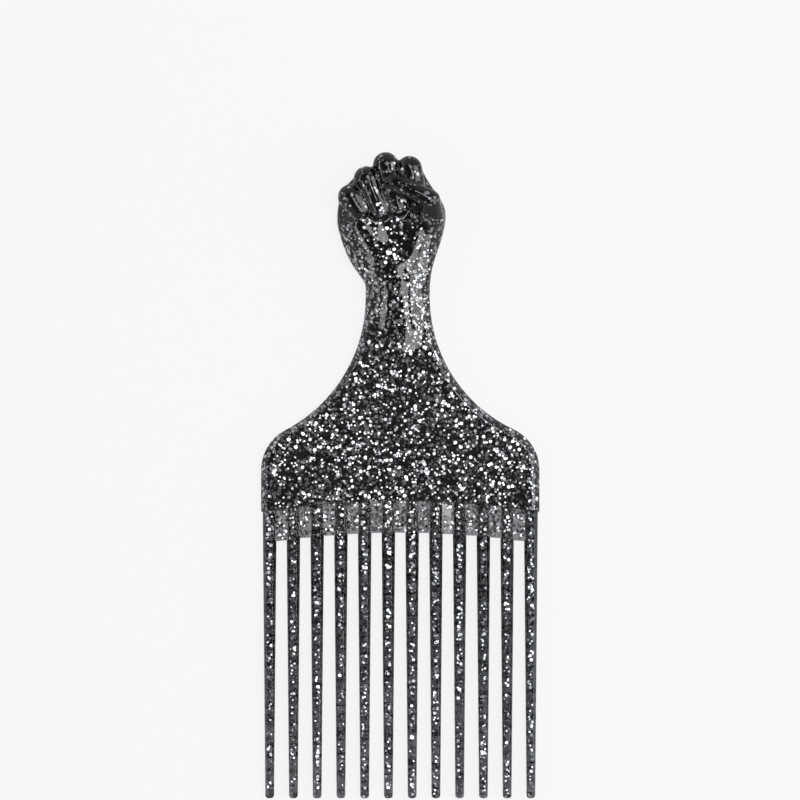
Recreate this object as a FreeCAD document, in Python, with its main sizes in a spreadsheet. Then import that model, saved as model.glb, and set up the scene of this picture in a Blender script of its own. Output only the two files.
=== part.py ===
"""Afro pick with a fist handle: a flat comb back with bevelled edges, twelve long teeth with a thin web
between their roots, and a closed right fist in relief at the end of the forearm.

The pick lies on its flat back. X runs across the teeth, +Y points from the teeth to the fist and +Z is the
front. The origin is on the back face, midway between the centres of the two shoulder curves.
"""

import FreeCAD, Part
import math
import os

import Sketcher

from FreeCAD import Placement, Rotation, Vector

# Driving dimensions, in millimetres
SIZES = {
    # comb back
    "plate_width": 76.8,
    "plate_thickness": 4.6,
    "plate_drop": 8.6,
    "plate_margin": 0.4,
    "root_arc_radius": 243.0,
    "shoulder_radius": 12.4,
    "front_bevel": 1.7,
    "back_bevel": 0.8,
    "root_edge_break": 0.35,
    # forearm
    "wrist_width": 17.7,
    "wrist_offset": -0.7,
    "wrist_height": 47.6,
    "wrist_length": 3.4,
    "forearm_depth": 8.4,
    "forearm_length": 24.0,
    "forearm_inset": 0.15,
    # teeth, and the web between their roots
    "tooth_count": 12,
    "tooth_length": 82.0,
    "tooth_stock": 1.5,
    "tooth_root_width": 3.95,
    "tooth_step": 0.4,
    "tooth_tip_width": 2.4,
    "tooth_tip_depth": 2.2,
    "tooth_side_land": 0.6,
    "tooth_tip_round": 0.9,
    "web_height": 8.7,
    "web_thickness": 1.4,
    # palm of the fist
    "palm_width": 29.6,
    "palm_lean": -1.8,
    "palm_belly_rise": 16.5,
    "palm_depth": 7.4,
    "palm_back_round": 2.4,
    "palm_crown_width": 14.3,
    "palm_crown_lean": -0.65,
    "palm_crown_rise": 32.0,
    "heel_pad_radius": 6.4,
    "heel_base_radius": 5.2,
    "heel_pad_rise": 1.2,
    "heel_base_sink": 0.8,
    "heel_base_spread": 3.0,
    "heel_pad_inset": 0.6,
    # fingers
    "joint_swell": 0.05,
    "finger_radius": 3.5,
    "fingertip_radius": 3.0,
    "knuckle_spacing": 6.6,
    "knuckle_depth": 3.0,
    "finger_depth": 7.7,
    "index_knuckle_out": 3.2,
    "index_knuckle_rise": 32.0,
    # thumb
    "thumb_ball_radius": 4.1,
    "thumb_ball_rise": 1.8,
    "thumb_ball_depth": 4.8,
    "thumb_radius": 2.9,
    "thumb_joint_out": 5.6,
    "thumb_joint_drop": 8.7,
    "thumb_tip_radius": 2.5,
    "thumb_tip_reach": 4.0,
    "thumb_tip_drop": 3.7,
    "thumb_depth": 9.9,
}

# From each knuckle to the next along the row, in degrees from -X towards -Y
KNUCKLE_STEPS = {"middle": -9.0, "ring": 36.0, "little": 49.0}

# Each finger's front bone: its lean from -Y towards +X in degrees, and its length between the ball centres
FRONT_BONES = {
    "index": (14.0, 8.8),
    "middle": (16.0, 11.6),
    "ring": (23.0, 9.2),
    "little": (33.0, 4.2),
}

# The palm's outline, from the wrist to its widest point and from there to the knuckles: the share of the way
# up, then the share of the change in width made by then on the little finger's side and on the thumb's side
PALM_FLARE = [(0.0, 0.0, 0.0), (0.12, 0.15, 0.05), (0.30, 0.42, 0.18), (0.60, 0.75, 0.56), (1.0, 1.0, 1.0)]
PALM_CLOSE = [(0.35, 0.02, 0.05), (0.61, 0.17, 0.42), (0.87, 0.58, 0.82), (1.0, 1.0, 1.0)]

# How the forearm grows out of the plate: the share of the way to the fist, and of its height above the plate
FOREARM_RISE = [(0.0, -0.08), (0.4, 0.28), (0.8, 0.78), (1.0, 1.0)]

# The palm's cross section, as shares of its half width and of its depth
PALM_SHOULDER_ACROSS = 0.75
PALM_SHOULDER_UP = 0.70
PALM_WIDEST_UP = 0.38

# The flat front of a tooth as a share of its width, and the most that its tip may be rounded, as a share of
# the tip's depth and width
TOOTH_FLAT = 0.5
TIP_ROUND_LIMIT = 0.42

# Expressions that several pieces share
FIST_BASE = "(Sizes.wrist_height + Sizes.wrist_length)"
TOOTH_PITCH = (
    "((Sizes.plate_width - Sizes.tooth_root_width - 2 * Sizes.plate_margin) / (Sizes.tooth_count - 1))"
)

doc = FreeCAD.newDocument("afro_pick")


def write_sheet():
    """Puts every driving dimension in a cell of its own, with its name as alias."""
    table = doc.addObject("Spreadsheet::Sheet", "Sizes")
    for row, (name, value) in enumerate(SIZES.items(), start=1):
        table.set(f"A{row}", name)
        table.set(f"B{row}", str(value))
        table.setAlias(f"B{row}", name)
    doc.recompute()
    return table


sheet = write_sheet()


def size(name):
    """The value of one driving dimension."""
    return float(getattr(sheet, name))


def above_wrist(rise=0.0):
    """Y of something a given way above the joint between the forearm and the fist."""
    return size("wrist_height") + size("wrist_length") + rise


# Sketching helpers

START, END, CENTRE = range(1, 4)
X_AXIS, Y_AXIS = range(-1, -3, -1)
ORIGIN = (X_AXIS, START)
SAME = 1e-6


def origin_plane(body, role):
    """One of a body's own origin planes."""
    return next(f for f in body.Origin.OriginFeatures if f.Role == role)


def sketch_on(body, name, role, height=None):
    """A sketch on an origin plane of a body, moved along the plane's normal by an expression."""
    sketch = body.newObject("Sketcher::SketchObject", name)
    sketch.AttachmentSupport = (origin_plane(body, role), [""])
    sketch.MapMode = "FlatFace"
    if height:
        sketch.setExpression("AttachmentOffset.Base.z", height)
    return sketch


def rule(sketch, kind, *where):
    """Adds a constraint with no value."""
    sketch.addConstraint(Sketcher.Constraint(kind, *where))


def measure(sketch, name, kind, where, value, words):
    """Adds a dimension that starts at a value and then follows an expression on the sheet."""
    index = sketch.addConstraint(Sketcher.Constraint(kind, *where, value))
    sketch.renameConstraint(index, name)
    sketch.setExpression(f"Constraints.{name}", words)


def arc(centre, radius, start_deg, end_deg):
    """A circular arc in a sketch, counter-clockwise."""
    circle = Part.Circle(Vector(*centre, 0), Vector(0, 0, 1), radius)
    return Part.ArcOfCircle(circle, math.radians(start_deg), math.radians(end_deg))


def line(start, end):
    """A straight edge in a sketch."""
    return Part.LineSegment(Vector(*start, 0), Vector(*end, 0))


# Comb back: the outline of the shoulders and the wrist, bevelled all round, with the forearm in relief


def sweep_radius(wrist_x):
    """Radius of the hollow curve that meets a shoulder curve and ends upright at the wrist."""
    across = size("plate_width") / 2 - size("shoulder_radius") - abs(wrist_x)
    up = size("wrist_height")
    rounding = size("shoulder_radius")
    return (across**2 + up**2 - rounding**2) / (2 * (rounding + across))


def draw_outline(sketch):
    """Side, shoulder and sweep up the left, across the wrist, down the right, and back along the root arc."""
    half = size("plate_width") / 2
    rounding = size("shoulder_radius")
    wrist_y = size("wrist_height")
    top = above_wrist()
    left = size("wrist_offset") - size("wrist_width") / 2
    right = size("wrist_offset") + size("wrist_width") / 2
    root = size("root_arc_radius")
    root_centre = -size("plate_drop") - root
    root_half_angle = math.degrees(math.asin(half / root))
    corner_y = root_centre + math.sqrt(root**2 - half**2)
    left_sweep = sweep_radius(left)
    right_sweep = sweep_radius(right)
    left_turn = math.degrees(math.asin(wrist_y / (rounding + left_sweep)))
    right_turn = math.degrees(math.asin(wrist_y / (rounding + right_sweep)))

    side_l, shoulder_l, sweep_l, wrist_l, top_edge, wrist_r, sweep_r, shoulder_r, side_r, root_edge = (
        sketch.addGeometry(
            [
                line((-half, corner_y), (-half, 0)),
                arc((rounding - half, 0), rounding, 180 - left_turn, 180),
                arc((left - left_sweep, wrist_y), left_sweep, -left_turn, 0),
                line((left, wrist_y), (left, top)),
                line((left, top), (right, top)),
                line((right, top), (right, wrist_y)),
                arc((right + right_sweep, wrist_y), right_sweep, 180, 180 + right_turn),
                arc((half - rounding, 0), rounding, 0, right_turn),
                line((half, 0), (half, corner_y)),
                arc((0, root_centre), root, 90 - root_half_angle, 90 + root_half_angle),
            ],
            False,
        )
    )
    for upright in (side_l, wrist_l, wrist_r, side_r):
        rule(sketch, "Vertical", upright)
    rule(sketch, "Horizontal", top_edge)
    rule(sketch, "Tangent", side_l, END, shoulder_l, END)
    rule(sketch, "Tangent", shoulder_l, START, sweep_l, START)
    rule(sketch, "Tangent", sweep_l, END, wrist_l, START)
    rule(sketch, "Coincident", wrist_l, END, top_edge, START)
    rule(sketch, "Coincident", top_edge, END, wrist_r, START)
    rule(sketch, "Tangent", wrist_r, END, sweep_r, START)
    rule(sketch, "Tangent", sweep_r, END, shoulder_r, END)
    rule(sketch, "Tangent", shoulder_r, START, side_r, START)
    rule(sketch, "Coincident", side_r, END, root_edge, START)
    rule(sketch, "Coincident", root_edge, END, side_l, START)
    rule(sketch, "PointOnObject", shoulder_l, CENTRE, X_AXIS)
    rule(sketch, "PointOnObject", shoulder_r, CENTRE, X_AXIS)
    rule(sketch, "PointOnObject", root_edge, CENTRE, Y_AXIS)
    rule(sketch, "Equal", shoulder_l, shoulder_r)

    measure(sketch, "half_width", "DistanceX", (side_l, END, *ORIGIN), half, "Sizes.plate_width / 2")
    measure(sketch, "full_width", "DistanceX", (side_l, END, side_r, START), 2 * half, "Sizes.plate_width")
    measure(sketch, "shoulder", "Radius", (shoulder_l,), rounding, "Sizes.shoulder_radius")
    measure(sketch, "wrist_left", "DistanceX", (wrist_l, END, *ORIGIN), -left,
            "Sizes.wrist_width / 2 - Sizes.wrist_offset")
    measure(sketch, "wrist_across", "DistanceX", (wrist_l, END, wrist_r, START), right - left,
            "Sizes.wrist_width")
    measure(sketch, "sweep_l_end", "DistanceY", (*ORIGIN, sweep_l, CENTRE), wrist_y, "Sizes.wrist_height")
    measure(sketch, "sweep_r_end", "DistanceY", (*ORIGIN, sweep_r, CENTRE), wrist_y, "Sizes.wrist_height")
    measure(sketch, "top", "DistanceY", (*ORIGIN, wrist_l, END), top, FIST_BASE)
    measure(sketch, "root", "Radius", (root_edge,), root, "Sizes.root_arc_radius")
    measure(sketch, "root_apex", "DistanceY", (root_edge, CENTRE, *ORIGIN), -root_centre,
            "Sizes.root_arc_radius + Sizes.plate_drop")


def rim_edges(shape, z, is_root):
    """Names of the outline's edges at a height, on the root arc or all others but the one at the fist."""
    root = size("root_arc_radius")
    found = []
    for number, edge in enumerate(shape.Edges, start=1):
        box = edge.BoundBox
        level = abs(box.ZMin - z) < SAME and abs(box.ZMax - z) < SAME
        at_fist = box.YMin > above_wrist() - SAME
        on_root = hasattr(edge.Curve, "Radius") and abs(edge.Curve.Radius - root) < SAME
        if level and not at_fist and on_root == is_root:
            found.append(f"Edge{number}")
    return found


def bevel(body, base, name, edges, width):
    """A 45 degree bevel along some edges of a body's last feature."""
    feature = body.newObject("PartDesign::Chamfer", name)
    feature.Base = (base, edges)
    feature.setExpression("Size", width)
    doc.recompute()
    return feature


def draw_forearm_section(body, name, share, rise):
    """A bow over a flat chord, between the place where the forearm fades into the plate and the fist."""
    sketch = sketch_on(body, name, "XZ_Plane", f"Sizes.forearm_length * (1 - {share}) - {FIST_BASE}")
    chord_z = size("plate_thickness") - size("front_bevel")
    half = size("wrist_width") / 2 - size("forearm_inset")
    crest = size("plate_thickness") + (size("forearm_depth") - size("plate_thickness")) * rise
    bow = crest - chord_z
    radius = (bow**2 + half**2) / (2 * bow)
    centre_z = crest - radius
    lean = math.degrees(math.asin((chord_z - centre_z) / radius))
    middle = size("wrist_offset")
    chord, top = sketch.addGeometry(
        [
            line((middle - half, chord_z), (middle + half, chord_z)),
            arc((middle, centre_z), radius, lean, 180 - lean),
        ],
        False,
    )
    rule(sketch, "Horizontal", chord)
    rule(sketch, "Coincident", chord, END, top, START)
    rule(sketch, "Coincident", top, END, chord, START)
    half_words = "(Sizes.wrist_width / 2 - Sizes.forearm_inset)"
    bow_words = f"(Sizes.front_bevel + (Sizes.forearm_depth - Sizes.plate_thickness) * {rise})"
    measure(sketch, "chord_left", "DistanceX", (chord, START, *ORIGIN), half - middle,
            f"{half_words} - Sizes.wrist_offset")
    measure(sketch, "chord_length", "DistanceX", (chord, START, chord, END), 2 * half, f"2 * {half_words}")
    measure(sketch, "chord_level", "DistanceY", (*ORIGIN, chord, START), chord_z,
            "Sizes.plate_thickness - Sizes.front_bevel")
    measure(sketch, "bow_radius", "Radius", (top,), radius,
            f"({bow_words}^2 + {half_words}^2) / (2 * {bow_words})")
    return sketch


def make_back_plate():
    """The comb back and forearm in one body."""
    body = doc.addObject("PartDesign::Body", "BackPlate")
    outline = sketch_on(body, "BackOutline", "XY_Plane")
    draw_outline(outline)
    pad = body.newObject("PartDesign::Pad", "BackPad")
    pad.Profile = outline
    pad.setExpression("Length", "Sizes.plate_thickness")
    doc.recompute()

    thickness = size("plate_thickness")
    front = bevel(body, pad, "FrontBevel", rim_edges(pad.Shape, thickness, False), "Sizes.front_bevel")
    back = bevel(body, front, "BackBevel", rim_edges(front.Shape, 0.0, False), "Sizes.back_bevel")
    bevel(body, back, "RootEdgeBreak", rim_edges(back.Shape, thickness, True), "Sizes.root_edge_break")

    sections = [
        draw_forearm_section(body, f"ForearmSection{number}", share, rise)
        for number, (share, rise) in enumerate(FOREARM_RISE, start=1)
    ]
    doc.recompute()
    forearm = body.newObject("PartDesign::AdditiveLoft", "Forearm")
    forearm.Profile = sections[0]
    forearm.Sections = sections[1:]
    doc.recompute()
    body.Label = "back_plate"
    return body


# Teeth: eight-sided bars that taper to a round tip, trimmed to the root arc of the comb back


def draw_tooth_section(body, name, height, x_words, width, depth, depth_words):
    """An octagon with flats at the front and back and narrow lands at the sides."""
    sketch = sketch_on(body, name, "XZ_Plane", height)
    sketch.setExpression("AttachmentOffset.Base.x", x_words)
    sketch.setExpression("AttachmentOffset.Base.y", "Sizes.plate_thickness / 2")
    half_width = size(width) / 2
    half_depth = depth / 2
    half_land = size("tooth_side_land") / 2
    half_flat = half_width * TOOTH_FLAT
    upper = [(half_flat, half_depth), (-half_flat, half_depth), (-half_width, half_land)]
    lower = [(-half_flat, -half_depth), (half_flat, -half_depth), (half_width, -half_land)]
    corners = [*upper, (-half_width, -half_land), *lower, (half_width, half_land)]
    edges = sketch.addGeometry([line(a, b) for a, b in zip(corners, corners[1:] + corners[:1])], False)
    for edge, following in zip(edges, edges[1:] + edges[:1]):
        rule(sketch, "Coincident", edge, END, following, START)
    front, _, left, _, back, _, right, _ = edges
    rule(sketch, "Symmetric", front, START, front, END, Y_AXIS)
    rule(sketch, "Symmetric", back, START, back, END, Y_AXIS)
    rule(sketch, "Symmetric", left, START, left, END, X_AXIS)
    rule(sketch, "Symmetric", right, START, right, END, X_AXIS)
    rule(sketch, "Symmetric", left, START, right, END, Y_AXIS)
    rule(sketch, "Equal", front, back)
    measure(sketch, "across", "DistanceX", (left, START, right, END), 2 * half_width, f"Sizes.{width}")
    measure(sketch, "front_level", "DistanceY", (*ORIGIN, front, START), half_depth, f"({depth_words}) / 2")
    measure(sketch, "back_level", "DistanceY", (back, START, *ORIGIN), half_depth, f"({depth_words}) / 2")
    measure(sketch, "flat", "DistanceX", (front, END, front, START), 2 * half_flat,
            f"Sizes.{width} * {TOOTH_FLAT}")
    measure(sketch, "land", "DistanceY", (left, END, left, START), 2 * half_land, "Sizes.tooth_side_land")
    return sketch


def make_tooth(number, root_disc):
    """One tooth, counted from -X. Its bar starts inside the comb back, and the root arc trims it."""
    place = number - (size("tooth_count") + 1) / 2
    x_words = f"{TOOTH_PITCH} * {place}"
    body = doc.addObject("PartDesign::Body", f"ToothBar{number:02d}")
    root = draw_tooth_section(
        body, f"ToothRoot{number:02d}", "Sizes.plate_drop - Sizes.tooth_stock", x_words, "tooth_root_width",
        size("plate_thickness") - 2 * size("tooth_step"), "Sizes.plate_thickness - 2 * Sizes.tooth_step",
    )
    tip = draw_tooth_section(
        body, f"ToothTip{number:02d}", "Sizes.plate_drop + Sizes.tooth_length", x_words, "tooth_tip_width",
        size("tooth_tip_depth"), "Sizes.tooth_tip_depth",
    )
    doc.recompute()
    bar = body.newObject("PartDesign::AdditiveLoft", f"ToothLoft{number:02d}")
    bar.Profile = root
    bar.Sections = [tip]
    bar.Ruled = True
    doc.recompute()

    lowest = bar.Shape.BoundBox.YMin
    tip_edges = [
        f"Edge{n}" for n, edge in enumerate(bar.Shape.Edges, start=1) if edge.BoundBox.YMax < lowest + SAME
    ]
    rounding = body.newObject("PartDesign::Fillet", f"ToothTipRound{number:02d}")
    rounding.Base = (bar, tip_edges)
    rounding.setExpression(
        "Radius",
        f"min(Sizes.tooth_tip_round; Sizes.tooth_tip_depth * {TIP_ROUND_LIMIT};"
        f" Sizes.tooth_tip_width * {TIP_ROUND_LIMIT})",
    )
    doc.recompute()

    tooth = doc.addObject("Part::Common", f"Tooth{number:02d}")
    tooth.Base = body
    tooth.Tool = root_disc
    tooth.Label = f"tooth_{number:02d}"
    return tooth


def make_root_disc(name, drop_words):
    """A large disc whose rim is the root arc, a given way below the origin; the teeth lie inside it."""
    disc = doc.addObject("Part::Cylinder", name)
    disc.setExpression("Radius", "Sizes.root_arc_radius")
    disc.setExpression("Height", "Sizes.plate_thickness")
    disc.setExpression("Placement.Base.y", f"-({drop_words}) - Sizes.root_arc_radius")
    return disc


def make_root_web(root_disc, teeth):
    """Thin panels between the teeth, from the comb back down to a second arc."""
    strip = doc.addObject("Part::Box", "WebStrip")
    strip.setExpression("Length", f"{TOOTH_PITCH} * (Sizes.tooth_count - 1)")
    strip.setExpression("Width", "Sizes.root_arc_radius")
    strip.setExpression("Height", "Sizes.web_thickness")
    strip.setExpression("Placement.Base.x", f"-{TOOTH_PITCH} * (Sizes.tooth_count - 1) / 2")
    strip.setExpression("Placement.Base.y", "-Sizes.plate_drop - Sizes.root_arc_radius")
    strip.setExpression("Placement.Base.z", "(Sizes.plate_thickness - Sizes.web_thickness) / 2")
    upper = doc.addObject("Part::Common", "WebUpper")
    upper.Base = strip
    upper.Tool = root_disc
    lower_disc = make_root_disc("WebDisc", "Sizes.plate_drop + Sizes.web_height")
    band = doc.addObject("Part::Cut", "WebBand")
    band.Base = upper
    band.Tool = lower_disc
    row = doc.addObject("Part::Compound", "ToothRow")
    row.Links = teeth
    web = doc.addObject("Part::Cut", "RootWeb")
    web.Base = band
    web.Tool = row
    web.Label = "root_web"
    return web


# Fist: a lofted palm, two bones for each finger, the thumb across the first two, and the pads of the heel


def palm_section(name, y, left, right, depth, back_round):
    """A loaf: flat on the back, round at the sides and domed at the front."""
    half = (right - left) / 2
    middle = (left + right) / 2
    shoulder_x = PALM_SHOULDER_ACROSS * half
    shoulder_z = PALM_SHOULDER_UP * depth
    widest_z = PALM_WIDEST_UP * depth

    def point(x, z):
        return Vector(middle + x, y, z)

    back_half = half - back_round
    edges = [
        Part.LineSegment(point(-back_half, 0), point(back_half, 0)),
        Part.Arc(point(back_half, 0), point(half, widest_z), point(shoulder_x, shoulder_z)),
        Part.Arc(point(shoulder_x, shoulder_z), point(0, depth), point(-shoulder_x, shoulder_z)),
        Part.Arc(point(-shoulder_x, shoulder_z), point(-half, widest_z), point(-back_half, 0)),
    ]
    section = doc.addObject("Part::Feature", name)
    section.Shape = Part.Wire([edge.toShape() for edge in edges])
    return section


def palm_station(rise, lean, width, depth, back_round):
    """What the palm measures at a height above the wrist; lean moves its middle sideways from the wrist's."""
    middle = size("wrist_offset") + lean
    return {
        "y": above_wrist(rise),
        "left": middle - size(width) / 2,
        "right": middle + size(width) / 2,
        "depth": size(depth),
        "back_round": size(back_round),
    }


def palm_belly():
    """The palm at its widest."""
    return palm_station(size("palm_belly_rise"), size("palm_lean"), "palm_width", "palm_depth",
                        "palm_back_round")


def make_palm():
    """The palm from the wrist to the row of knuckles."""
    wrist = palm_station(0.0, 0.0, "wrist_width", "forearm_depth", "back_bevel")
    belly = palm_belly()
    crown = palm_station(size("palm_crown_rise"), size("palm_crown_lean"), "palm_crown_width",
                         "finger_depth", "palm_back_round")
    stretches = [(wrist, belly, row) for row in PALM_FLARE] + [(belly, crown, row) for row in PALM_CLOSE]
    sections = []
    for number, (low, high, (up, out_left, out_right)) in enumerate(stretches, start=1):
        shares = {"y": up, "left": out_left, "right": out_right, "depth": up, "back_round": up}
        station = {key: low[key] + (high[key] - low[key]) * share for key, share in shares.items()}
        sections.append(palm_section(f"PalmSection{number}", **station))
    palm = doc.addObject("Part::Loft", "Palm")
    palm.Sections = sections
    palm.Solid = True
    palm.Ruled = False
    return palm


def make_bone(name, start, start_radius, end, end_radius, into_joint=False):
    """Two balls joined by a cone that touches both, turned from a half profile. Radii are named sizes.

    A bone that runs into a joint ends thinner than that joint's own ball, which swells around it.
    """
    along = end - start
    length = along.Length
    swell = size("joint_swell") if into_joint else 0.0
    swell_words = " - Sizes.joint_swell" if into_joint else ""
    r1 = size(start_radius)
    r2 = size(end_radius) - swell
    touch = math.degrees(math.acos((r1 - r2) / length))
    c = math.cos(math.radians(touch))
    s = math.sin(math.radians(touch))
    sketch = doc.addObject("Sketcher::SketchObject", f"{name}Profile")
    ball, flank, tip, axis = sketch.addGeometry(
        [
            arc((0, 0), r1, touch, 180),
            line((r1 * c, r1 * s), (length + r2 * c, r2 * s)),
            arc((length, 0), r2, 0, touch),
            line((-r1, 0), (length + r2, 0)),
        ],
        False,
    )
    rule(sketch, "Coincident", ball, CENTRE, *ORIGIN)
    rule(sketch, "PointOnObject", tip, CENTRE, X_AXIS)
    rule(sketch, "Tangent", ball, START, flank, START)
    rule(sketch, "Tangent", flank, END, tip, END)
    rule(sketch, "Coincident", ball, END, axis, START)
    rule(sketch, "Coincident", tip, START, axis, END)
    rule(sketch, "PointOnObject", axis, START, X_AXIS)
    rule(sketch, "PointOnObject", axis, END, X_AXIS)
    measure(sketch, "ball_radius", "Radius", (ball,), r1, f"Sizes.{start_radius}")
    measure(sketch, "tip_radius", "Radius", (tip,), r2, f"Sizes.{end_radius}{swell_words}")
    sketch.addConstraint(Sketcher.Constraint("DistanceX", *ORIGIN, tip, CENTRE, length))
    sketch.Placement = Placement(start, Rotation(Vector(1, 0, 0), along))
    bone = doc.addObject("Part::Revolution", name)
    bone.Source = sketch
    bone.Base = start
    bone.Axis = along.normalize()
    bone.Angle = 360
    bone.Solid = True
    return bone


def knuckle_places():
    """X and Y of each finger's knuckle, stepping along the row from the index finger."""
    x = size("wrist_offset") + size("index_knuckle_out")
    y = above_wrist(size("index_knuckle_rise"))
    places = {"index": (x, y)}
    for finger, turn in KNUCKLE_STEPS.items():
        x -= size("knuckle_spacing") * math.cos(math.radians(turn))
        y -= size("knuckle_spacing") * math.sin(math.radians(turn))
        places[finger] = (x, y)
    return places


def make_finger(finger, x, y):
    """A bone from the knuckle at the back to the bend at the front, and one down to the tip in the palm."""
    lean, length = FRONT_BONES[finger]
    knuckle = Vector(x, y, size("knuckle_depth"))
    bend = Vector(x, y, size("finger_depth"))
    down = Vector(math.sin(math.radians(lean)), -math.cos(math.radians(lean)), 0)
    tip = bend + down * length
    name = finger.capitalize()
    return [
        make_bone(f"{name}Knuckle", knuckle, "finger_radius", bend, "finger_radius", into_joint=True),
        make_bone(f"{name}Front", bend, "finger_radius", tip, "fingertip_radius"),
    ]


def make_thumb(index_x, index_y):
    """From the ball of the thumb at the palm's side, up to its joint, and across the first two fingers."""
    belly = palm_belly()
    ball = Vector(
        belly["right"] - size("thumb_ball_radius"),
        belly["y"] + size("thumb_ball_rise"),
        size("thumb_ball_depth"),
    )
    joint = Vector(index_x + size("thumb_joint_out"), index_y - size("thumb_joint_drop"), size("thumb_depth"))
    tip = Vector(index_x - size("thumb_tip_reach"), index_y - size("thumb_tip_drop"), size("thumb_depth"))
    return [
        make_bone("ThumbLower", ball, "thumb_ball_radius", joint, "thumb_radius", into_joint=True),
        make_bone("ThumbUpper", joint, "thumb_radius", tip, "thumb_tip_radius"),
    ]


def make_heel_pad(name, side):
    """The soft pad along one side of the palm; side is -1 under the little finger and 1 under the thumb."""
    inset = size("heel_pad_radius") + size("heel_pad_inset")
    upper = Vector(
        size("wrist_offset") + size("palm_lean") + side * (size("palm_width") / 2 - inset),
        palm_belly()["y"],
        size("palm_depth") + size("heel_pad_rise") - size("heel_pad_radius"),
    )
    lower = Vector(
        size("wrist_offset") + side * size("heel_base_spread"),
        above_wrist(size("heel_base_radius") + size("heel_pad_inset")),
        size("forearm_depth") - size("heel_base_sink") - size("heel_base_radius"),
    )
    return make_bone(name, upper, "heel_pad_radius", lower, "heel_base_radius")


def make_fist():
    """The whole hand, cut flat on the plane of the comb's back."""
    places = knuckle_places()
    forms = [make_palm(), make_heel_pad("OuterPad", -1), make_heel_pad("ThumbPad", 1)]
    forms += make_thumb(*places["index"])
    for finger, (x, y) in places.items():
        forms += make_finger(finger, x, y)
    hand = forms[0]
    for number, form in enumerate(forms[1:], start=1):
        joined = doc.addObject("Part::Fuse", f"Hand{number:02d}")
        joined.Base = hand
        joined.Tool = form
        hand = joined
    below = doc.addObject("Part::Box", "BelowBack")
    below.setExpression("Length", "Sizes.palm_width * 3")
    below.setExpression("Width", f"{FIST_BASE} + Sizes.index_knuckle_rise * 2")
    below.setExpression("Height", "Sizes.palm_width")
    below.setExpression("Placement.Base.x", "Sizes.wrist_offset - Sizes.palm_width * 1.5")
    below.setExpression("Placement.Base.z", "-Sizes.palm_width")
    fist = doc.addObject("Part::Cut", "Fist")
    fist.Base = hand
    fist.Tool = below
    fist.Label = "fist"
    return fist


def check(pieces):
    """Stops if anything in the document failed, or a piece has no valid solid."""
    doc.recompute()
    for item in doc.Objects:
        if {"Invalid", "Error"} & set(item.State):
            raise RuntimeError(f"{item.Label} failed to build")
    for piece in pieces:
        shape = piece.Shape
        if shape.isNull() or not shape.isValid() or not shape.Solids:
            raise RuntimeError(f"{piece.Label} has no valid solid")


def main():
    plate = make_back_plate()
    root_disc = make_root_disc("RootDisc", "Sizes.plate_drop")
    teeth = [make_tooth(n, root_disc) for n in range(1, int(size("tooth_count")) + 1)]
    web = make_root_web(root_disc, teeth)
    fist = make_fist()
    pieces = [plate, fist, web, *teeth]
    check(pieces)
    os.makedirs("parts", exist_ok=True)
    for piece in pieces:
        box = piece.Shape.BoundBox
        print(
            f"{piece.Label}: {len(piece.Shape.Solids)} solid(s), {piece.Shape.Volume:.1f} mm3,",
            f"x {box.XMin:.2f} to {box.XMax:.2f}, y {box.YMin:.2f} to {box.YMax:.2f},",
            f"z {box.ZMin:.2f} to {box.ZMax:.2f}",
        )
        piece.Shape.exportStep(f"parts/{piece.Label}.step")


main()
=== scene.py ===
# %% [markdown]
# # A glitter afro pick, as a lesson in clear plastic
#
# The pick is a single moulding in smoke-tinted clear polystyrene, with silver glitter stirred into it. Its
# comb back, forearm, fist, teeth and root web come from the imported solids. This file turns them into the
# surface that a mould leaves, fills it with flakes, and lights it on a pale table, seen from straight above.

# %% The frame
import math
import random

import bmesh
import bpy
import numpy as np
from mathutils import Matrix, Vector
from mathutils.bvhtree import BVHTree


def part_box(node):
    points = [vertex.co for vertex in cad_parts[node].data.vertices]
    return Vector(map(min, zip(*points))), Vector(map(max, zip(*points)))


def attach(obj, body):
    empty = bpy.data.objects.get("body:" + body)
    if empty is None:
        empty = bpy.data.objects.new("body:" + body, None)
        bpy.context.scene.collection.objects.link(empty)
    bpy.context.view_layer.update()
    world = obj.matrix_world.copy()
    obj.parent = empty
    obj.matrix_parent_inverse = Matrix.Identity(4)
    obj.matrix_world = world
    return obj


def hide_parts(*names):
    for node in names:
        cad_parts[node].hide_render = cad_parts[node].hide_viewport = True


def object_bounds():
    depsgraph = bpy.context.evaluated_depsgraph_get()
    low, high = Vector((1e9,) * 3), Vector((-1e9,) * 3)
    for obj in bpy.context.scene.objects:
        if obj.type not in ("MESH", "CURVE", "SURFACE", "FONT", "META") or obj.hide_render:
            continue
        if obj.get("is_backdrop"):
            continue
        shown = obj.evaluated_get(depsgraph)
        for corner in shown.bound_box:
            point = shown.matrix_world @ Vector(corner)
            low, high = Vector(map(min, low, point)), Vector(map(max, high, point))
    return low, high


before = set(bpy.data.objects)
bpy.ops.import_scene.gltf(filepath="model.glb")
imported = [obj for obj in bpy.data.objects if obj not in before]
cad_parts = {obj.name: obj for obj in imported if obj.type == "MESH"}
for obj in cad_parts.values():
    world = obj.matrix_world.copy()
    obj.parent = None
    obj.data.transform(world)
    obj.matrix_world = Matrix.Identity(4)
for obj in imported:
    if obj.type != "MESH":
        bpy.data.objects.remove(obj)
cad_low, cad_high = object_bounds()
MM = 0.001
print("solids:", len(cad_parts), "size in mm:", [round(v / MM, 1) for v in cad_high - cad_low])

# %% [markdown]
# ## Small helpers
#
# Colours are written as the hex values that a picture editor shows, and one function turns them into the
# linear values that shaders use. One more function adds a shader node: an input that is given a socket is
# linked to it, and any other input gets its value set.

# %% Colour and node helpers
def linear(hex_colour):
    """An sRGB hex colour as linear red, green, blue and a full alpha."""
    channels = [int(hex_colour[n:n + 2], 16) / 255 for n in (1, 3, 5)]
    return [c / 12.92 if c <= 0.04045 else ((c + 0.055) / 1.055) ** 2.4 for c in channels] + [1.0]


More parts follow.
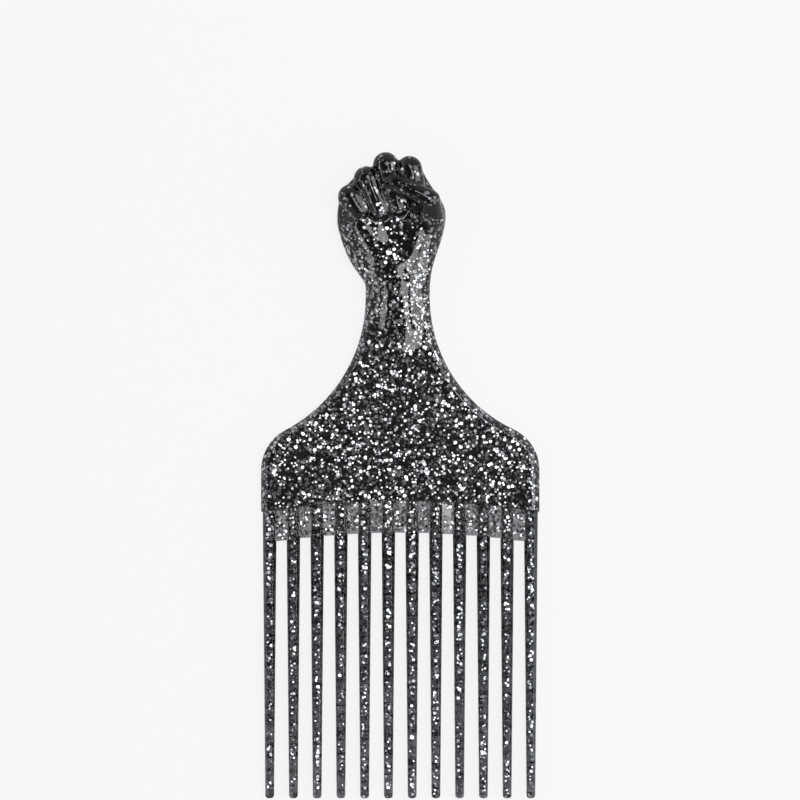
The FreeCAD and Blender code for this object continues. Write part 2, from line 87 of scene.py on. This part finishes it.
def add_node(tree, kind, inputs=None, **settings):
    """Adds one node to a tree, with its settings, and its inputs as values or as links from other sockets."""
    made = tree.nodes.new(kind)
    for name, value in settings.items():
        setattr(made, name, value)
    for name, value in (inputs or {}).items():
        if isinstance(value, bpy.types.NodeSocket):
            tree.links.new(value, made.inputs[name])
        else:
            made.inputs[name].default_value = value
    return made


def new_tree(owner):
    """The empty node tree of a material or a world, and its output node."""
    owner.use_nodes = True
    tree = owner.node_tree
    tree.nodes.clear()
    kind = "ShaderNodeOutputWorld" if isinstance(owner, bpy.types.World) else "ShaderNodeOutputMaterial"
    return tree, tree.nodes.new(kind)


WHITE = linear("#FFFFFF")
print("a middle grey, #808080, is", round(linear("#808080")[0], 3), "in linear values")

# %% [markdown]
# ## The camera
#
# The pick was photographed from straight above, from far enough away that nothing is foreshortened. A long
# lens high over the table gives that. Its distance follows from the width of table that the picture takes in.

# %% Camera
VIEW_WIDTH = 220.4 * MM
VIEW_CENTRE = (-0.08 * MM, 19.29 * MM)
FOCUS_HEIGHT = 5.0 * MM
LENS = 300.0
FARTHEST_SEEN = 10.0

camera_data = bpy.data.cameras.new("camera")
camera_data.lens = LENS
camera_data.clip_end = FARTHEST_SEEN
camera = bpy.data.objects.new("camera", camera_data)
camera_height = VIEW_WIDTH * LENS / camera_data.sensor_width + FOCUS_HEIGHT
camera.location = (*VIEW_CENTRE, camera_height)
bpy.context.scene.collection.objects.link(camera)
bpy.context.scene.camera = camera
print("camera height in mm:", round(camera_height / MM))

# %% [markdown]
# ## The handle
#
# The comb back and the fist are two solids that meet at the wrist, and the fist's fingers meet in sharp
# creases. A mould has no such creases, because its steel is polished. A voxel remesh casts both solids anew
# as one skin and rounds every edge by about a voxel.

# %% Handle skin
VOXEL = 0.34 * MM
MERGE_DISTANCE = 0.0005 * MM


def copy_solid(bm, *names):
    """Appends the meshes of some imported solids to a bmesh, with their loose triangles merged."""
    for name in names:
        bm.from_mesh(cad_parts[name].data)
    bmesh.ops.remove_doubles(bm, verts=bm.verts, dist=MERGE_DISTANCE)


def show_mesh(name, mesh):
    """Puts a mesh into a new object at the origin."""
    made = bpy.data.objects.new(name, mesh)
    bpy.context.scene.collection.objects.link(made)
    return made


def make_object(name, bm):
    """Puts a bmesh into a new object and frees it."""
    mesh = bpy.data.meshes.new(name)
    bm.to_mesh(mesh)
    bm.free()
    return show_mesh(name, mesh)


def apply_modifier(target, kind, **settings):
    """Adds a modifier to an object and replaces its mesh with the result."""
    modifier = target.modifiers.new(kind, kind)
    for name, value in settings.items():
        setattr(modifier, name, value)
    shown = target.evaluated_get(bpy.context.evaluated_depsgraph_get())
    result = bpy.data.meshes.new_from_object(shown)
    target.modifiers.clear()
    target.data = result


bm = bmesh.new()
copy_solid(bm, "back_plate", "fist")
pick = make_object("pick", bm)
apply_modifier(pick, "REMESH", mode="VOXEL", voxel_size=VOXEL)
print("handle faces:", len(pick.data.polygons))

# %% [markdown]
# ## The hand, smoothed
#
# Smoothing softens the forearm and the hand, and leaves the comb back as it is. On the forearm and the palm
# it melts the pads at the heel of the hand into one soft swelling. Its strength fades out where the surface
# turns away to the sides, so no border shows. Over the whole hand a few plain steps come first, and then each
# step inwards is followed by a slightly larger one outwards. That takes away the flat facets of the solids,
# and the fingers keep their thickness. Blender's smoothing operator moves all its points alike, so a short
# function does it here, with a weight for each point.

# %% Hand smoothing
# A step is the share of the way to the middle of a point's neighbours, and a minus sign moves it back out.
PALM_STEPS = [0.5] * 120
HAND_STEPS = [0.5] * 6 + [0.5, -0.52] * 50
FOREARM_START = 18.0 * MM
FINGERTIP_LINE = 69.0 * MM
FOREARM_HALF = 7.2 * MM
FADE_LENGTH = 4.0 * MM
# The upward part of the skin's normal, where smoothing starts and where it is at full strength
FACING_LOW, FACING_HIGH = 0.40, 0.85


def ramp(value, low, high):
    """The share of the way from low to high, from 0 to 1."""
    return np.clip((value - low) / (high - low), 0.0, 1.0)


def read_array(items, field, width, kind=float):
    """One field of all the vertices or edges of a mesh, as rows."""
    values = np.empty(len(items) * width, kind)
    items.foreach_get(field, values)
    return values.reshape(-1, width)


def smooth(points, edges, weights, steps):
    """Moves points towards the middle of their neighbours, step by step, as far as their weights let them."""
    neighbours = np.bincount(edges.ravel(), minlength=len(points))[:, None]
    for step in steps:
        total = np.zeros_like(points)
        for near, far in (edges.T, edges.T[::-1]):
            for axis in range(3):
                total[:, axis] += np.bincount(near, points[far, axis], len(points))
        points += weights[:, None] * step * (total / neighbours - points)


points = read_array(pick.data.vertices, "co", 3)
edges = read_array(pick.data.edges, "vertices", 2, np.int32)
facing = ramp(read_array(pick.data.vertices, "normal", 3)[:, 2], FACING_LOW, FACING_HIGH)
x, y = points[:, 0], points[:, 1]
wrist_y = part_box("fist")[0].y
wrist_x = np.mean(x[abs(y - wrist_y) < VOXEL])
on_forearm = ramp(FOREARM_HALF - abs(x - wrist_x), 0, FADE_LENGTH / 2)
above_wrist = ramp(y, wrist_y, wrist_y + FADE_LENGTH)
along = ramp(y, FOREARM_START, FOREARM_START + FADE_LENGTH) * ramp(FINGERTIP_LINE - y, 0, FADE_LENGTH)
smooth(points, edges, along * np.maximum(on_forearm, above_wrist) * facing, PALM_STEPS)
smooth(points, edges, ramp(points[:, 1], wrist_y - FADE_LENGTH, wrist_y), HAND_STEPS)
pick.data.vertices.foreach_set("co", points.ravel())
pick.data.update()
print("wrist in mm:", round(wrist_x / MM, 1), round(wrist_y / MM, 1))

# %% [markdown]
# ## Teeth and root web
#
# The teeth are straight tapered bars, so their solids are right as they are. They only need the small radius
# that a cutter leaves on each edge. Before the bevel, flat triangles are dissolved into whole faces, so that
# only true edges are left. Each root is drawn out into the comb back, and each web panel into the teeth
# beside it, so that a boolean union can weld them into one skin. Clear plastic needs that, because a leftover
# wall inside would show.

# %% Teeth and web
ROOT_OVERLAP = 1.2 * MM
WEB_OVERLAP = 0.7 * MM
EDGE_RADIUS = 0.22 * MM
EDGE_SEGMENTS = 2
FLAT_ANGLE = math.radians(1.5)
EDGE_ANGLE = math.radians(22)


def round_edges(bm):
    """Bevels every edge that turns by more than EDGE_ANGLE."""
    bmesh.ops.dissolve_limit(bm, angle_limit=FLAT_ANGLE, verts=bm.verts, edges=bm.edges)
    sharp = [e for e in bm.edges if e.is_manifold and e.calc_face_angle() > EDGE_ANGLE]
    bmesh.ops.bevel(
        bm, geom=sharp, offset=EDGE_RADIUS, affect="EDGES", segments=EDGE_SEGMENTS, profile=0.5, material=-1,
        clamp_overlap=True,
    )


tooth_names = sorted(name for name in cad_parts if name.startswith("tooth_"))
bm = bmesh.new()
copy_solid(bm, *tooth_names)
round_edges(bm)
tip_y, root_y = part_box(tooth_names[0])[0].y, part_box(tooth_names[0])[1].y
roots = [v for v in bm.verts if v.co.y > (tip_y + root_y) / 2]
bmesh.ops.translate(bm, vec=(0, ROOT_OVERLAP, 0), verts=roots)
teeth = make_object("teeth", bm)

bm = bmesh.new()
copy_solid(bm, "root_web")
round_edges(bm)
web_low, web_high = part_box("root_web")
first_middle, second_middle = (sum(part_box(name), Vector()).x / 2 for name in tooth_names[:2])
tooth_pitch = second_middle - first_middle
for vert in bm.verts:
    panel = math.floor((vert.co.x - first_middle) / tooth_pitch)
    panel_middle = first_middle + (panel + 0.5) * tooth_pitch
    vert.co.x += math.copysign(WEB_OVERLAP, vert.co.x - panel_middle)
    if vert.co.y > (web_low.y + web_high.y) / 2:
        vert.co.y += ROOT_OVERLAP
print("teeth:", len(tooth_names), "pitch in mm:", round(tooth_pitch / MM, 2))
web = make_object("web", bm)

for part in (teeth, web):
    apply_modifier(pick, "BOOLEAN", operation="UNION", solver="MANIFOLD", object=part)
    bpy.data.objects.remove(part)
print("pick faces:", len(pick.data.polygons))

# %% [markdown]
# ## Glitter
#
# The flakes are hexagons punched from aluminised film, in two sizes. In the mould they follow the flow, so
# they lie nearly flat along the nearest wall, each tilted a little its own way. A flake is real geometry
# here, a thin closed prism inside the plastic. Near the skin it shines, and deeper down the smoke tint dims
# it. Points are drawn over the skin and pushed inwards. A flake is kept only if its whole rim stays inside
# the plastic and no other wall is nearer, so that a thin wall isn't overfilled. In the narrow teeth they lie
# under the flat faces alone, so the sloping flanks stay clear and grey, and a few more are tried there. From
# the wrist to the fingers, at the far end of the mould, they grow fewer.

# %% Flake placing
FLAKES_PER_MM2 = 1.65
# Each size has a diameter and its share of the flakes.
FLAKE_SIZES = {"large": (0.95 * MM, 0.25), "small": (0.55 * MM, 0.75)}
FLAKE_CORNERS = 6
CORNER_ANGLES = [math.tau * n / FLAKE_CORNERS for n in range(FLAKE_CORNERS)]
SHALLOWEST = 0.10 * MM
DEEPEST = 0.45 * MM
NEAREST_WALL_SHARE = 0.9
RIM_CLEARANCE = 0.06 * MM
TILT_SPREAD = math.radians(5.5)
# In the teeth, the least upright part of the normal over a flake, and how many times as many are tried
TOOTH_FACING = 0.8
TOOTH_BOOST = 1.7
# The share of the flakes that is left at the fingertips
FINGER_SHARE = 0.3
GLITTER_SEED = 7

skin = pick.data
skin.calc_loop_triangles()
skin_area = sum(t.area for t in skin.loop_triangles)
root_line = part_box("back_plate")[0].y
dice = random.Random(GLITTER_SEED)
bm = bmesh.new()
bm.from_mesh(skin)
skin_tree = BVHTree.FromBMesh(bm)
bm.free()


def depth_below_skin(point):
    """How far a point lies inside the plastic; negative outside."""
    nearest, normal, _, distance = skin_tree.find_nearest(point)
    return math.copysign(distance, (nearest - point).dot(normal))


def random_point(triangle):
    """An evenly drawn point on a triangle of the skin."""
    a, b, c = (skin.vertices[n].co for n in triangle.vertices)
    u, v = dice.random(), dice.random()
    if u + v > 1:
        u, v = 1 - u, 1 - v
    return a + (b - a) * u + (c - a) * v


def try_flake(triangle):
    """The placement and diameter of one flake under a triangle of the skin, or None if it doesn't fit."""
    names, shares = list(FLAKE_SIZES), [share for _, share in FLAKE_SIZES.values()]
    diameter = FLAKE_SIZES[dice.choices(names, shares)[0]][0]
    depth = dice.uniform(SHALLOWEST, DEEPEST)
    lean = Vector((dice.gauss(0, TILT_SPREAD), dice.gauss(0, TILT_SPREAD), 1.0))
    turn = Matrix.Rotation(dice.uniform(0, math.tau), 4, "Z")
    place = random_point(triangle) - triangle.normal * depth
    reach = ramp(place.y, wrist_y, FINGERTIP_LINE + FADE_LENGTH)
    left_out = dice.random() < reach * (1 - FINGER_SHARE)
    if left_out or depth_below_skin(place) < NEAREST_WALL_SHARE * depth:
        return None
    if place.y < root_line and abs(triangle.normal.z) < TOOTH_FACING:
        return None
    facing = triangle.normal.to_track_quat("Z", "Y").to_matrix().to_4x4()
    tilt = lean.to_track_quat("Z", "Y").to_matrix().to_4x4()
    matrix = Matrix.Translation(place) @ facing @ tilt @ turn
    for angle in CORNER_ANGLES:
        rim = matrix @ Vector((diameter / 2 * math.cos(angle), diameter / 2 * math.sin(angle), 0))
        if depth_below_skin(rim) < RIM_CLEARANCE:
            return None
    return matrix, diameter


areas = [t.area * (TOOTH_BOOST if t.center.y < web_low.y else 1.0) for t in skin.loop_triangles]
tries = round(FLAKES_PER_MM2 * sum(areas) / MM**2)
drawn = dice.choices(skin.loop_triangles, areas, k=tries)
flakes = [flake for flake in map(try_flake, drawn) if flake]
print("skin in mm2:", round(skin_area / MM**2), "flakes:", len(flakes), "of", tries)

# %% [markdown]
# ## Flakes as meshes
#
# The cone operator with two equal ends makes one flake, a six-sided prism. Each call goes through the whole
# mesh, so calling it for every flake would add about two minutes. The one prism is copied instead: its
# corners are moved to each place, and its faces are counted on. Each flake also gets a square of its own in
# the map. The flakes are shared out over a few regions, so that no object grows too heavy.

# %% Flake meshes
FLAKE_THICKNESS = 0.03 * MM
CELL_FILL = 0.9


def make_flake():
    """The corners and faces of one flake, one unit wide and one unit thick, round the origin."""
    bm = bmesh.new()
    bmesh.ops.create_cone(
        bm, cap_ends=True, cap_tris=False, segments=FLAKE_CORNERS, radius1=0.5, radius2=0.5, depth=1.0,
        matrix=Matrix.Rotation(math.pi / 2, 4, "Z"),
    )
    bm.verts.index_update()
    corners = [vert.co.copy() for vert in bm.verts]
    faces = [[vert.index for vert in face.verts] for face in bm.faces]
    bm.free()
    return corners, faces


def stamp_flakes(name, placed):
    """One object with a flake at each place, and a map with a square of its own for each."""
    flake_corners, flake_faces = make_flake()
    corners, faces = [], []
    for matrix, diameter in placed:
        size = Vector((diameter, diameter, FLAKE_THICKNESS))
        faces += [[len(corners) + n for n in face] for face in flake_faces]
        corners += [matrix @ (corner * size) for corner in flake_corners]
    mesh = bpy.data.meshes.new(name)
    mesh.from_pydata(corners, [], faces)
    columns = math.ceil(math.sqrt(len(placed)))
    flake_map = mesh.uv_layers.new(name="OFBake")
    for loop in mesh.loops:
        number, corner = divmod(loop.vertex_index, len(flake_corners))
        row, column = divmod(number, columns)
        u = (column + 0.5 + CELL_FILL * flake_corners[corner].x) / columns
        v = (row + 0.5 + CELL_FILL * flake_corners[corner].y) / columns
        flake_map.data[loop.index].uv = (u, v)
    return show_mesh(name, mesh)


def flake_region(flake):
    """The name of the piece that a flake belongs to."""
    centre = flake[0].translation
    if centre.y >= wrist_y:
        return "glitter_fist"
    zone = "back" if centre.y >= root_line else "teeth"
    return f"glitter_{zone}_left" if centre.x < 0 else f"glitter_{zone}_right"


regions = {}
for flake in flakes:
    regions.setdefault(flake_region(flake), []).append(flake)
glitter = {name: stamp_flakes(name, placed) for name, placed in regions.items()}
for name, piece in glitter.items():
    print(name, "faces:", len(piece.data.polygons))

# %% [markdown]
# ## Smoke polystyrene, moulded to a gloss
#
# Clear polystyrene bends light strongly (IOR 1.59), and a polished mould leaves it almost mirror smooth. The
# smoke dye is in the plastic and not on it, so it belongs in the volume: a thin web then stays grey and a
# thick plate turns nearly black by itself. The skin keeps a faint unevenness from cooling, which makes
# reflections waver, and handling leaves patches a few millimetres wide that are a little less bright.

# %% Plastic material
CLEAR = "#F6F6F7"
DYE_COLOUR = "#E4E4E5"
DYE_DENSITY = 4400.0
POLYSTYRENE_IOR = 1.59
GLOSS_BEST, GLOSS_WORST = 0.025, 0.06
RUBBED_SIZE = 4.0 * MM
RUBBED_LOW, RUBBED_HIGH = 0.35, 0.65
WAVER_SIZE = 9.0 * MM
WAVER_HEIGHT = 0.006 * MM

plastic = bpy.data.materials.new("smoke_polystyrene_moulded_gloss")
tree, output = new_tree(plastic)
place = add_node(tree, "ShaderNodeTexCoord")
waver = add_node(
    tree, "ShaderNodeTexNoise",
    {"Vector": place.outputs["Object"], "Scale": 1 / WAVER_SIZE, "Detail": 2.0, "Roughness": 0.5},
)
bump = add_node(
    tree, "ShaderNodeBump", {"Height": waver.outputs["Fac"], "Distance": WAVER_HEIGHT, "Strength": 1.0}
)
rubbed = add_node(
    tree, "ShaderNodeTexNoise",
    {"Vector": place.outputs["Object"], "Scale": 1 / RUBBED_SIZE, "Detail": 3.0, "Roughness": 0.6},
)
gloss = add_node(
    tree, "ShaderNodeMapRange",
    {
        "Value": rubbed.outputs["Fac"], "From Min": RUBBED_LOW, "From Max": RUBBED_HIGH,
        "To Min": GLOSS_BEST, "To Max": GLOSS_WORST,
    },
)
skin_shader = add_node(
    tree, "ShaderNodeBsdfPrincipled",
    {
        "Base Color": linear(CLEAR), "Roughness": gloss.outputs["Result"], "IOR": POLYSTYRENE_IOR,
        "Transmission Weight": 1.0, "Normal": bump.outputs["Normal"],
    },
)
dye = add_node(tree, "ShaderNodeVolumeAbsorption", {"Color": linear(DYE_COLOUR), "Density": DYE_DENSITY})
tree.links.new(skin_shader.outputs["BSDF"], output.inputs["Surface"])
tree.links.new(dye.outputs["Volume"], output.inputs["Volume"])
pick.data.materials.clear()
pick.data.materials.append(plastic)
light_left = math.exp(-(1 - linear(DYE_COLOUR)[0]) * DYE_DENSITY * MM)
print(plastic.name, "lets through", round(light_left, 2), "of the light in each mm")

# %% [markdown]
# ## Aluminised film
#
# Glitter is polyester film with a layer of aluminium a few dozen nanometres thick, so it is a mirror with a
# slight grain from its rolling. The layer isn't even: patches the size of a flake are a shade darker and
# duller.

# %% Flake material
FILM_BRIGHT, FILM_DULL = "#F6F7F8", "#D9DBE0"
FILM_SHARP, FILM_GRAINY = 0.06, 0.15
PATCH_SIZE = 0.8 * MM
PATCH_LOW, PATCH_HIGH = 0.3, 0.7

film = bpy.data.materials.new("aluminised_polyester_film")
tree, output = new_tree(film)
place = add_node(tree, "ShaderNodeTexCoord")
patches = add_node(
    tree, "ShaderNodeTexNoise",
    {"Vector": place.outputs["Object"], "Scale": 1 / PATCH_SIZE, "Detail": 2.0, "Roughness": 0.5},
)
wear = add_node(
    tree, "ShaderNodeMapRange",
    {"Value": patches.outputs["Fac"], "From Min": PATCH_LOW, "From Max": PATCH_HIGH},
)
silver = add_node(
    tree, "ShaderNodeMixRGB", {0: wear.outputs["Result"], 1: linear(FILM_BRIGHT), 2: linear(FILM_DULL)}
)
grain = add_node(
    tree, "ShaderNodeMapRange",
    {"Value": wear.outputs["Result"], "To Min": FILM_SHARP, "To Max": FILM_GRAINY},
)
film_shader = add_node(
    tree, "ShaderNodeBsdfPrincipled",
    {"Base Color": silver.outputs["Color"], "Metallic": 1.0, "Roughness": grain.outputs["Result"]},
)
tree.links.new(film_shader.outputs["BSDF"], output.inputs["Surface"])
for piece in glitter.values():
    piece.data.materials.append(film)
print(film.name, "is on", len(glitter), "objects")

# %% [markdown]
# ## Shading and what stands for what
#
# The skin is shaded smooth, apart from edges that turn sharply. One skin stands for all fifteen solids, and
# the glitter rides inside it.

# %% Shading and riding
SMOOTH_ANGLE = math.radians(28)

pick.data.shade_smooth()
pick.data.set_sharp_from_angle(angle=SMOOTH_ANGLE)
apply_modifier(pick, "WEIGHTED_NORMAL", keep_sharp=True)
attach(pick, "root")
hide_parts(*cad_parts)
for piece in glitter.values():
    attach(piece, "root")
print(pick.name, "stands for", len(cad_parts), "solids")

# %% [markdown]
# ## Table and light
#
# The table is a pale matt board, which the camera sees as white. Soft boxes and a room light the pick at a
# plain level. The walls are paler than the ceiling, so the flakes also shine when seen from the side. Clear
# plastic and mirrors show what surrounds them, so each box is placed for its reflection. The large one
# stands low at the right and draws the bright side of the forearm. Two hang to the right of the camera's
# line of sight, where many flakes mirror them, and draw one band along each finger. Neither is straight
# above, so the flat comb back and the palm stay dark. A smaller one in the left corner lights the side of the
# palm, and a narrow strip at the left draws the thin line on the bevel there.

# %% Table
TABLE_SIZE = 3.0
TABLE_GAP = 0.05 * MM
TABLE_PALE = "#D0D0D0"
SHOWN_WHITE = {"Is Camera Ray": 0.86, "Is Transmission Ray": 1.0}

bm = bmesh.new()
bmesh.ops.create_grid(bm, x_segments=1, y_segments=1, size=TABLE_SIZE / 2)
table = make_object("table", bm)
table.location.z = cad_low.z - TABLE_GAP
board = bpy.data.materials.new("pale_matt_board")
tree, output = new_tree(board)
rays = add_node(tree, "ShaderNodeLightPath")
whiteness = 0.0
for kind, share in SHOWN_WHITE.items():
    whiteness = add_node(
        tree, "ShaderNodeMath", {0: rays.outputs[kind], 1: share, 2: whiteness},
        operation="MULTIPLY_ADD", use_clamp=True,
    ).outputs["Value"]
matt = add_node(tree, "ShaderNodeBsdfDiffuse", {"Color": linear(TABLE_PALE)})
white = add_node(tree, "ShaderNodeEmission", {"Color": WHITE, "Strength": 1.0})
shown = add_node(
    tree, "ShaderNodeMixShader",
    {"Fac": whiteness, 1: matt.outputs["BSDF"], 2: white.outputs["Emission"]},
)
tree.links.new(shown.outputs["Shader"], output.inputs["Surface"])
table.data.materials.append(board)
table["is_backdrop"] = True
print("table below the pick in mm:", round(TABLE_GAP / MM, 2))

# %% Lamps
# Places and sizes are in metres. The radiance sets how bright a box looks, whatever its size.
SOFT_BOXES = {
    "box_right": {"place": (0.75, 0.05, 0.45), "size": (0.8, 0.7), "radiance": 2.4},
    "box_behind": {"place": (0.26, 0.36, 1.05), "size": (0.36, 0.42), "radiance": 4.2},
    "box_front": {"place": (0.40, -0.12, 1.03), "size": (0.46, 0.5), "radiance": 3.6},
    "box_corner": {"place": (-0.65, -0.35, 0.8), "size": (0.35, 0.3), "radiance": 2.4},
    "strip_left": {"place": (-0.9, 0.1, 0.5), "size": (1.0, 0.15), "radiance": 1.5},
}

for name, box in SOFT_BOXES.items():
    lamp = bpy.data.lights.new(name, "AREA")
    lamp.shape = "RECTANGLE"
    lamp.size, lamp.size_y = box["size"]
    lamp.energy = box["radiance"] * math.pi * lamp.size * lamp.size_y
    holder = bpy.data.objects.new(name, lamp)
    holder.location = box["place"]
    holder.rotation_euler = (-holder.location).to_track_quat("-Z", "Y").to_euler()
    bpy.context.scene.collection.objects.link(holder)
    print(name, "watts:", round(lamp.energy, 2))

# %% Room
CEILING_GREY, WALL_GREY = 0.15, 0.5
# The upward part of a ray's direction, where the walls end and where the ceiling starts
WALL_TOP, CEILING_EDGE = 0.6, 0.85

room = bpy.data.worlds.new("room")
tree, output = new_tree(room)
rays = add_node(tree, "ShaderNodeLightPath")
direction = add_node(tree, "ShaderNodeTexCoord")
height = add_node(tree, "ShaderNodeSeparateXYZ", {"Vector": direction.outputs["Generated"]})
grey = add_node(
    tree, "ShaderNodeMapRange",
    {
        "Value": height.outputs["Z"], "From Min": WALL_TOP, "From Max": CEILING_EDGE,
        "To Min": WALL_GREY, "To Max": CEILING_GREY,
    },
)
dim = add_node(tree, "ShaderNodeBackground", {"Color": WHITE, "Strength": grey.outputs["Result"]})
white = add_node(tree, "ShaderNodeBackground", {"Color": WHITE, "Strength": 1.0})
shown = add_node(
    tree, "ShaderNodeMixShader",
    {"Fac": rays.outputs["Is Camera Ray"], 1: dim.outputs["Background"], 2: white.outputs["Background"]},
)
tree.links.new(shown.outputs["Shader"], output.inputs["Surface"])
bpy.context.scene.world = room
bpy.context.scene.view_settings.view_transform = "Standard"
print("room nodes:", len(tree.nodes))

# %% [markdown]
# ## Sizes at the end
#
# How far the skin and the glitter reach past the box of the solids is printed, at its low and its high
# corner. The skin must stay inside the box of the solids.

# %% Sizes and finish
low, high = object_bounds()
for side, growth in {"low": cad_low - low, "high": high - cad_high}.items():
    print("grown in mm,", side, "corner:", [round(v / MM, 2) for v in growth])
